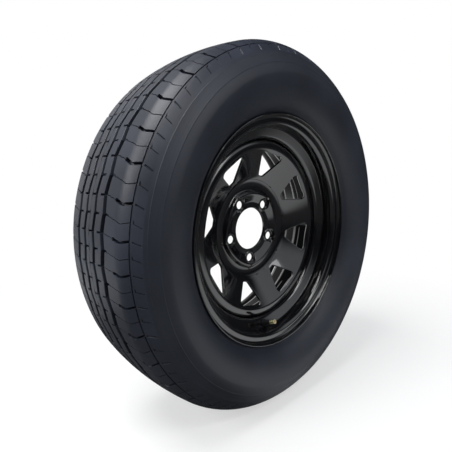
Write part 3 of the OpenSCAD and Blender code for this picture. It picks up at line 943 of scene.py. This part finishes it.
def flat_points(radius, clock):
    return np.stack(np.broadcast_arrays(radius * np.sin(clock), radius * np.cos(clock)), -1)


def sector_border(inner, outer, from_clock, to_clock, columns, sides):
    """Border of a patch between two radii and two angles, clockwise from its outer left corner."""
    clocks = np.linspace(from_clock, to_clock, columns + 1)
    radii = np.linspace(outer, inner, sides + 1)

    edges = ((outer, clocks), (radii, to_clock), (inner, clocks[::-1]), (radii[::-1], from_clock))
    return np.vstack([flat_points(radius, clock)[:-1] for radius, clock in edges])


def turned_by(points, clock):
    """Flat points turned clockwise about the axle. They come as (sideways, radial)."""
    c, s = math.cos(clock), math.sin(clock)
    return np.stack([points[..., 0] * c + points[..., 1] * s, points[..., 1] * c - points[..., 0] * s], -1)


def spread(outline, border, steps, rings):
    """Rings of flat points from a hole's outline to the border, the first at given steps from the edge."""
    away = leftward(np.roll(outline, -1, 0) - np.roll(outline, 1, 0))
    near = [outline + away * step for step in steps]
    shares = np.linspace(0, 1, rings + 1)[1:] ** 1.15
    return np.array(near + [near[-1] * (1 - share) + border * share for share in shares])


def both_faces(flat, drops=()):
    """Points of the street face and the back, as rows that run from the border to the hole and out again."""
    x, y = flat[..., 0], flat[..., 1]
    face = np.dstack([x, y, disc_height(np.hypot(x, y), np.arctan2(x, y))])
    normal = disc_normal(x, y)
    back = face - normal * DISC_T
    for ring, drop in enumerate(drops):
        face[ring] -= normal[ring] * drop
        back[ring] += normal[ring] * drop
    rows = np.concatenate([face[::-1], back])
    return np.stack([rows[..., 0], -rows[..., 2], rows[..., 1]], -1) * MM


def rounding(distance):
    """How far a rounded edge has dropped at a distance from the hole."""
    inside = EDGE_ROUND - np.minimum(distance, EDGE_ROUND)
    return EDGE_ROUND - np.sqrt(EDGE_ROUND ** 2 - inside ** 2)


print("an edge drops", EDGE_ROUND, "mm where it is rounded")

# %% [markdown]
# Now the patches themselves: eight round the windows, five round the lug holes, and plain rings that join
# them. All of them have the same number of points where they meet, and those points are merged.

# %% The disc
ROUND_STEPS = (0.0, 0.08, 0.25, 0.5, 0.8, 1.6)
LUG_STEPS = (0.0, 1.75, 1.95, 2.3, 3.0, 3.9, 4.6, 5.3, 6.1)
LUG_CORNER = math.radians(62)
LUG_DROPS = ((LUG_SEAT_R - LUG_HOLE_R) / math.tan(math.radians(30)), 0.25, 0.06)
LUG_COLUMNS = 56
WINDOW_COLUMNS = 35
AROUND = LUG_COLUMNS * LUG_COUNT
HUB_RING_R = 46.0
LUGS_TO_R = 72.0
WINDOWS_FROM_R = DISH_START_R + 4
WINDOWS_TO_R = 149.0


def window_patch():
    """The first window, pointing at the hub, with the border of its eighth of the disc."""
    half_base, half_tip = WINDOW_BASE_W / 2, WINDOW_TIP_W / 2
    tip = WINDOW_CORNER_R * 0.8
    steps, sides = 16, 20
    corners = rounded([
        (0, WINDOW_BASE_R), (half_base, WINDOW_BASE_R, WINDOW_CORNER_R), (half_tip, WINDOW_TIP_R, tip),
        (-half_tip, WINDOW_TIP_R, tip), (-half_base, WINDOW_BASE_R, WINDOW_CORNER_R),
        (0, WINDOW_BASE_R)], steps)
    base_right, tip_right, tip_left, base_left = (1 + steps // 2 + (steps + 1) * k for k in range(4))
    stretches = (
        (np.vstack([corners[base_left:-1], corners[:base_right + 1]]), WINDOW_COLUMNS),
        (corners[base_right:tip_right + 1], sides),
        (corners[tip_right:tip_left + 1], WINDOW_COLUMNS),
        (corners[tip_left:base_left + 1], sides))
    outline = np.vstack([resample(line, count)[:-1] for line, count in stretches])
    half = math.pi / WINDOW_COUNT
    border = sector_border(WINDOWS_FROM_R, WINDOWS_TO_R, -half, half, WINDOW_COLUMNS, sides)
    return spread(outline, border, ROUND_STEPS, 6)


def lug_patch():
    """The first lug hole with the border of its fifth of the hub face."""
    sides = 14
    half = math.pi / LUG_COUNT
    border = sector_border(HUB_RING_R, LUGS_TO_R, -half, half, LUG_COLUMNS, sides)
    turns = (-LUG_CORNER, LUG_CORNER, math.pi - LUG_CORNER, math.pi + LUG_CORNER, 2 * math.pi - LUG_CORNER)
    counts = (LUG_COLUMNS, sides, LUG_COLUMNS, sides)
    angles = np.concatenate([np.linspace(*turns[k:k + 2], counts[k] + 1)[:-1] for k in range(4)])
    outline = np.stack([LUG_HOLE_R * np.sin(angles), LUG_CIRCLE_R + LUG_HOLE_R * np.cos(angles)], -1)
    return spread(outline, border, LUG_STEPS, 12)


def plain_ring(radii, columns):
    return flat_points(np.array(radii)[:, None], WINDOW_CLOCK + full_turn(columns))


def outer_edge(columns):
    """The dish's crest and the flange that goes into the rim, as face rows and back rows."""
    start = [WINDOWS_TO_R, np.interp(WINDOWS_TO_R, DISH[:, 0], DISH[:, 1])]
    line = np.vstack([start, DISH[DISH[:, 0] >= WINDOWS_TO_R]])
    closed = np.vstack([line, mitred(line, -DISC_T)[::-1]])
    return on_wheel(closed[:, :1], WINDOW_CLOCK + full_turn(columns), closed[:, 1:2])


def joined(grids):
    """Points and quads of several grids as one mesh."""
    points, faces = [], []
    for grid in grids:
        faces.append(grid_faces(*grid.shape[:2], first=sum(map(len, points))))
        points.append(grid.reshape(-1, 3))
    return np.vstack(points), np.vstack(faces)


def disc_grids():
    """Every patch and ring of the disc. The back of the middle ring needs only half as many lines."""
    drops = rounding(np.array(ROUND_STEPS[:5]))
    rows = 33
    middle = both_faces(plain_ring(np.linspace(LUGS_TO_R, WINDOWS_FROM_R, rows), AROUND * 2))
    bore_radii = BORE_R + np.array(ROUND_STEPS[:5] + (2.0, HUB_RING_R - BORE_R))
    window, lug = window_patch(), lug_patch()
    return [both_faces(turned_by(window, WINDOW_CLOCK + i * 2 * math.pi / WINDOW_COUNT), drops)
            for i in range(WINDOW_COUNT)] + [
        both_faces(turned_by(lug, LUG_CLOCK + i * LUG_STEP), LUG_DROPS) for i in range(LUG_COUNT)] + [
        both_faces(plain_ring(bore_radii, AROUND), drops), middle[:rows], middle[rows:][::2, ::2],
        outer_edge(AROUND)]


disc_points, disc_faces = joined(disc_grids())
disc = make_piece("wheel_disc_sheet", disc_points, disc_faces, PAINT, 40)
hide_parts("wheel_disc")

# %% [markdown]
# ## Welds
# Eight weld beads hold the disc in the rim. They are laid as rows of overlapping drops, so each bead swells
# and narrows along its length. Displacement could do that too, but a sum in the section keeps it exact.

# %% Weld beads
WELD_COUNT = 8
WELD_SPAN = math.radians(26)
WELD_LEG = 5.0
WELD_POINTS = 97
WELD_FILL = 0.92


def weld_bead(index):
    """A fillet bead with a rippled face, in the corner between the disc's flange and the rim."""
    foot_r, foot_out = FLANGE_FACE_R, CREST_OUT - FLANGE_DEPTH
    start = math.pi / 2 - math.radians((index + 0.3) * 360 / WELD_COUNT)
    along = np.linspace(0, 1, WELD_POINTS)
    ends = np.sqrt(np.clip(1 - (2 * along - 1) ** 12, 0.02, 1))
    ripple = 1 + 0.07 * np.abs(np.sin(along * math.pi * 15)) ** 0.6
    swell = (ends * ripple)[:, None]
    turns = np.linspace(0, math.pi / 2, 9)[None, :]
    face_r = foot_r - swell * (WELD_LEG - 1) * np.cos(turns) * WELD_FILL
    face_out = foot_out - swell * WELD_LEG * np.sin(turns) * WELD_FILL
    radius = np.pad(face_r, ((0, 0), (0, 1)), constant_values=foot_r)
    out = np.pad(face_out, ((0, 0), (0, 1)), constant_values=foot_out)
    return on_wheel(radius, (start - along * WELD_SPAN)[:, None], out)


beads = [weld_bead(index) for index in range(WELD_COUNT)]
weld_points, weld_faces = joined(beads)
rows, columns = beads[0].shape[:2]
weld_ends = [[first * columns + k for k in range(columns)]
             for bead in range(WELD_COUNT) for first in (bead * rows, bead * rows + rows - 1)]
welds = make_piece("weld_beads", weld_points, weld_faces.tolist() + weld_ends, WELD_PAINT, 50)
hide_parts("disc_welds")

# %% [markdown]
# ## Valve
# The valve is a snap-in kind: a rubber body pulled through the rim's hole, with a threaded brass stem in it.
# A bump would leave the thread's outline straight, so the thread is a true helix and light catches its turns.

# %% Valve body
VALVE_OUT = 29.0
VALVE_IN = 12.0
BRASS_BARE = 11.0
RUBBER_TOP = VALVE_OUT - BRASS_BARE
SHANK_R = 3.0
BRASS_R = 3.85
MOUTH_R = 2.55
AIRWAY_R = 1.9
VALVE_GAP = 0.05
VALVE_COLUMNS = 96
STEM_COLUMNS = 72
THREAD_PITCH = 0.79
THREAD_DEPTH = 0.42
THREAD_ROOT = 0.3


def grid_on_valve(name, radius, height, shader, sharp):
    """A grid of radii, one column to an angle, round the valve's axis."""
    points = on_valve(*np.broadcast_arrays(radius, full_turn(radius.shape[1]), height))
    return make_piece(name, points, grid_faces(*radius.shape, wrap_rows=True), shader, sharp)


def valve_rubber_section():
    """Corners of the rubber as (radius, height, rounding), from the bulb inside the rim outward."""
    bulb, neck, collar = 7.4, VALVE_HOLE_R - VALVE_GAP, 6.7
    inner = SHANK_R + VALVE_GAP
    return rounded([
        (inner, 1 - VALVE_IN), (bulb - 0.6, 1 - VALVE_IN, 1.6), (bulb, -BARREL_T - 4.6, 1.8),
        (bulb, -BARREL_T - 3, 1.0), (neck, -BARREL_T - 0.3, 0.8), (neck, 0.3, 0.25), (collar, 0.4, 0.5),
        (collar, 3.2, 1.5), (collar - 1.1, 5, 2.2), (collar - 1.6, 11, 0.5), (collar - 1.9, 11.3, 0.3),
        (collar - 2.2, RUBBER_TOP, 0.8), (inner, RUBBER_TOP)], 6)


rubber_line = valve_rubber_section()
rubber_radius = np.repeat(rubber_line[:, :1], VALVE_COLUMNS, 1)
rubber = grid_on_valve("valve_body", rubber_radius, rubber_line[:, 1:2], VALVE_BLACK, 35)
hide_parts("valve_rubber")

# %% [markdown]
# The stem's thread has gone dull and greenish, and its mouth is made lighter, less metallic and rougher.
# One material does both: it measures how far along the valve's axis a point lies, and mixes two brasses.


# %% Threaded stem
def stem_brass():
    """Dull brass on the thread and a lighter, less metallic brass on the mouth."""
    foot, tip = (on_valve(np.zeros(1), np.zeros(1), np.array([height]))[0] for height in (0, VALVE_OUT))
    towards = (tip - foot) / np.linalg.norm(tip - foot)
    brass = Shader("stem_brass")
    along = brass.node("ShaderNodeVectorMath", {"operation": "DOT_PRODUCT"},
                       {0: brass.place(), 1: tuple(towards)}, out="Value")
    mouth = along.between(tip @ towards - 0.9 * MM, tip @ towards - 0.5 * MM)
    patches = brass.noise(500.0, 4.0)
    thread = brass.mix(patches, (0.20, 0.20, 0.11, 1), (0.46, 0.43, 0.22, 1))
    brass.set(Base_Color=brass.mix(mouth, thread, (0.95, 0.82, 0.52, 1)), Metallic=1 - mouth * 0.5,
              Roughness=0.30 + patches * 0.12 + mouth * 0.2)
    return brass


def threaded_stem():
    """The brass tube, with a helical thread on its bare end and a chamfered mouth."""
    columns = STEM_COLUMNS
    heights = np.concatenate([[RUBBER_TOP + VALVE_GAP], np.linspace(RUBBER_TOP + 0.1, VALVE_OUT - 0.55, 150)])
    shank = np.array([(AIRWAY_R, -VALVE_IN), (SHANK_R, -VALVE_IN), (SHANK_R, RUBBER_TOP + VALVE_GAP)])
    mouth = np.array([(BRASS_R, VALVE_OUT - 0.45), (BRASS_R, VALVE_OUT - 0.15), (BRASS_R - 0.15, VALVE_OUT),
                      (MOUTH_R + 0.2, VALVE_OUT), (MOUTH_R, VALVE_OUT - 0.2),
                      (MOUTH_R, 11.5), (AIRWAY_R, 10.0)])
    phase = np.mod(heights[:, None] / THREAD_PITCH + full_turn(columns) / (2 * math.pi), 1)
    fade = (soft_step(heights, RUBBER_TOP) * soft_step(VALVE_OUT - 0.6 - heights, length=0.6))[:, None]
    thread_r = BRASS_R - THREAD_DEPTH * np.abs(2 * phase - 1) * fade - (1 - fade) * THREAD_ROOT
    radius = np.vstack([np.repeat(shank[:, :1], columns, 1), thread_r, np.repeat(mouth[:, :1], columns, 1)])
    height = np.concatenate([shank[:, 1], heights, mouth[:, 1]])[:, None]
    return grid_on_valve("valve_stem_thread", radius, height, stem_brass(), 40)


stem = threaded_stem()
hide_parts("valve_stem")

# %% [markdown]
# The core inside the stem keeps its CAD shapes: they are small turned pieces, right as they are. Each only
# gets its own finish.

# %% Finish of the core
CORE_FINISH = {
    "core_nut": (BRASS, "brass"), "core_barrel": (BRASS, "brass"),
    "core_barrel_seal": (PALE_SEAL, "pale_seal"),
    "core_pin": (PIN_BRASS, "pin_brass"), "core_cup": (BRASS, "brass"),
    "core_cup_seal": (VALVE_BLACK, "valve_rubber"), "core_spring": (SPRING_STEEL, "spring_steel")}
for node, (shader, slot) in CORE_FINISH.items():
    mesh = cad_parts[node].data
    mesh.materials.clear()
    mesh.materials.append(shader.material)
    print(node, "takes", slot)

# %% [markdown]
# ## Light and floor
# The photograph is a catalogue picture: white ground, soft light from above and from the left, and a pale
# shadow on the floor beside the tyre's foot. The world is white where the camera looks at it. Towards the
# camera's side it is a dim grey, as a studio is, so the black paint stays black. One bright panel in front
# gives the paint something to mirror. The world's masks read a ray's direction and feed only its own light.

# %% World
FILL_LIGHT = 0.36
ROOM_LIGHT = 0.03
COOL = (0.90, 0.95, 1.0, 1)
BEHIND_Y = (0.60, 0.88)
AHEAD_Y = (-0.40, -0.20)
PANEL_LIGHT = 0.78
PANEL_SIDEWAYS = (0.92, 0.39, 0.0)
PANEL_SIDES = (0.09, 0.24)
PANEL_FOOT = (0.04, 0.20)
PANEL_TOP = (0.72, 0.82)


class WorldShader(Shader):
    """The same builder on the world's tree, which has no Principled node."""

    def __init__(self):
        world = bpy.data.worlds.new("studio")
        world.use_nodes = True
        bpy.context.scene.world = world
        self.tree = world.node_tree
        self.tree.nodes.clear()

    def background(self, colour, strength):
        return self.node("ShaderNodeBackground", {}, {"Color": colour, "Strength": strength})

    def output(self, value):
        self.plug(self.tree.nodes.new("ShaderNodeOutputWorld").inputs["Surface"], value)


def light_path(shader, kind):
    return shader.node("ShaderNodeLightPath", {}, {}, out=kind)


def build_world():
    """White for the camera and behind the wheel in reflections, and a dim room with soft fill elsewhere."""
    world = WorldShader()
    direction = world.node("ShaderNodeTexCoord", {}, {}, out="Generated")
    back, height = world.part(direction, "Y"), world.part(direction, "Z")
    beside = world.node("ShaderNodeVectorMath", {"operation": "DOT_PRODUCT"},
                        {0: direction, 1: PANEL_SIDEWAYS}, out="Value")
    panel = (1 - back.between(*AHEAD_Y)) * (1 - (beside * beside).between(*PANEL_SIDES))
    panel = panel * height.between(*PANEL_FOOT) * (1 - height.between(*PANEL_TOP))
    mirrored = light_path(world, "Is Glossy Ray") + light_path(world, "Is Transmission Ray")
    shown = light_path(world, "Is Camera Ray") + back.between(*BEHIND_Y) * mirrored
    ground = world.background((1, 1, 1, 1), 1.0)
    fill = world.background(COOL, FILL_LIGHT)
    room = world.background(COOL, ROOM_LIGHT + panel * PANEL_LIGHT)
    studio = world.node("ShaderNodeMixShader", {}, {0: mirrored, 1: fill, 2: room})
    world.output(world.node("ShaderNodeMixShader", {}, {0: shown, 1: studio, 2: ground}))


build_world()
print("world", bpy.context.scene.world.name)

# %% [markdown]
# The floor is pale paper. The camera sees it nearly white with the wheel's shadow on it. For other rays its
# colour holds painted light: reflections show it white behind the wheel and in a painted pool of light in
# front on the right, and painted dark elsewhere. Light that bounces off it is painted darker to the left and
# behind.

# %% Floor
PAPER_LIGHT = (0.88, 0.88, 0.88, 1)
# Painted dark: the paper's tone where dark reflections and painted shade are wanted.
PAPER_PAINTED_DARK = (0.10, 0.10, 0.10, 1)
FLOOR_R = 9
FLOOR_GAP = 0.05


def build_floor():
    """A disc of paper whose colour holds painted reflection and painted shade, by place and by what kind of
    ray sees it.
    """
    paper = Shader("studio_floor", Roughness=0.9, Specular_IOR_Level=0.1)
    far_off = paper.node("ShaderNodeVectorMath", {"operation": "LENGTH"}, {0: paper.place()}, out="Value")
    across, back = paper.part(paper.place(), "X"), paper.part(paper.place(), "Y")
    # Painted light: a pool in front on the right where reflections show the paper white.
    painted_light_pool = (0 - back - across * 0.5).between(0.0, 0.12) * across.between(-0.15, 0.05)
    painted_light_pool = painted_light_pool * (1 - far_off.between(0.8, 1.4))
    # Painted reflection: glossy rays see the paper white behind the wheel and in the pool, and dark near the
    # wheel and elsewhere.
    mirrored = (back.between(0.10, 0.45) * far_off.between(0.35, 1.00) + painted_light_pool).between(0, 1)
    # Painted shade: light that bounces off the paper is darker to the left and behind the wheel.
    painted_bounce_shade = 0.25 + (across - back).between(0.0, 0.5) * 0.65
    camera, gloss = light_path(paper, "Is Camera Ray"), light_path(paper, "Is Glossy Ray")
    light = camera + gloss * mirrored + (1 - camera - gloss) * painted_bounce_shade
    # The paper's colour runs from the painted dark to white along these painted masks.
    paper.set(Base_Color=paper.mix(light, PAPER_PAINTED_DARK, PAPER_LIGHT))
    white = paper.node("ShaderNodeEmission", {}, {"Color": (1, 1, 1, 1), "Strength": 1.0})
    seen = light_path(paper, "Is Camera Ray") * (0.55 + far_off.between(0.35, 1.1) * 0.45)
    lit = Value(paper, paper.surface.outputs[0])
    mixed = paper.node("ShaderNodeMixShader", {}, {0: seen, 1: lit, 2: white})
    paper.plug(paper.tree.nodes["Material Output"].inputs["Surface"], mixed)
    bpy.ops.mesh.primitive_circle_add(vertices=96, radius=FLOOR_R, fill_type="NGON",
                                      location=(0, 0, (PATCH_Z - FLOOR_GAP) * MM))
    floor = bpy.context.object
    floor.name = "studio_floor"
    floor.data.materials.append(paper.material)


build_floor()
print("floor radius", FLOOR_R, "m")

# %% [markdown]
# Four soft lamps light the rubber: a large one above, a tall one on the left, and two weak ones in front.
# They are large, as softboxes are, so shadows have no hard edge. Places are in metres, power in watts.

# %% Lamps
LAMPS = {
    "lamp_top": ((-0.9, 0.1, 1.9), (-0.1, 0, 0.1), (1.2, 1.0), 46),
    "lamp_left": ((-2.2, 0.15, 1.25), (0, 0, 0), (0.6, 0.9), 28),
    "lamp_right": ((0.63, -2.34, 1.40), (0, 0, 0), (0.8, 1.0), 8.0),
    "lamp_front": ((-0.50, -1.65, 2.0), (0, 0, 0), (1.5, 0.35), 15)}


def softbox(name, place, aim, size, watts):
    """A rectangular soft lamp at a place, facing a point."""
    data = bpy.data.lights.new(name, "AREA")
    data.shape = "RECTANGLE"
    data.size, data.size_y = size
    data.energy = watts
    lamp = bpy.data.objects.new(name, data)
    lamp.location = place
    lamp.rotation_euler = (Vector(aim) - Vector(place)).to_track_quat("-Z", "Y").to_euler()
    bpy.context.scene.collection.objects.link(lamp)


for lamp_name, lamp_values in LAMPS.items():
    softbox(lamp_name, *lamp_values)
print("lamps", len(LAMPS))

bpy.context.scene.view_settings.view_transform = "Standard"
